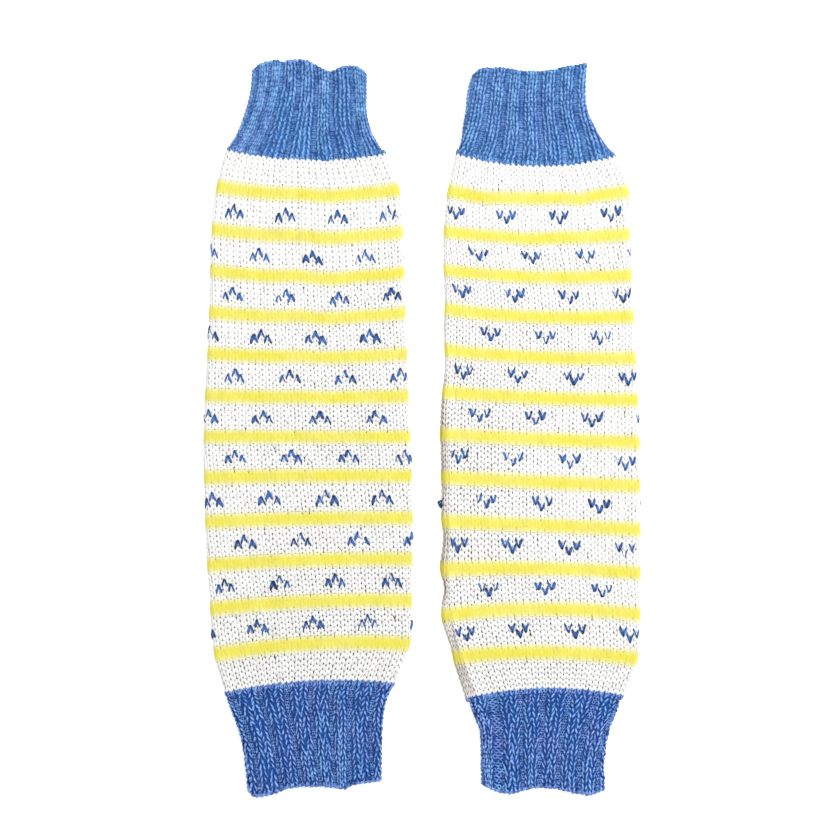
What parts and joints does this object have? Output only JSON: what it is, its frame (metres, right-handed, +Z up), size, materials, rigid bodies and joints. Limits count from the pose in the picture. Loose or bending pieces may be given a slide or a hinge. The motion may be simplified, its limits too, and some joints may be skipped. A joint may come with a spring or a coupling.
{
  "type": "pair of leg warmers",
  "caption": "Pair of knitted tubes for the lower legs, laid flat, with ribbed blue cuffs, a white ground, yellow stripes and small blue stitch motifs.",
  "frame": {"origin": "centre of the pair's footprint, on the surface that the pair lies on", "axes": "+Z up out of that surface, +Y from the bottom hems to the top hems, +X from the left leg warmer to the right one"},
  "size_m": [0.2669, 0.4495, 0.0087],
  "materials": {
    "blue_cuff_yarn": "matt heathered wool-like yarn in 2x2 rib",
    "white_leg_yarn": "matt yarn in stocking stitch",
    "yellow_stripe_yarn": "matt yarn in stocking stitch",
    "blue_motif_yarn": "matt yarn in stocking stitch"
  },
  "bodies": {
    "root": {"left_top_cuff": "blue_cuff_yarn", "left_leg": "white_leg_yarn", "left_bottom_cuff": "blue_cuff_yarn", "right_top_cuff": "blue_cuff_yarn", "right_leg": "white_leg_yarn", "right_bottom_cuff": "blue_cuff_yarn"}
  },
  "joints": []
}
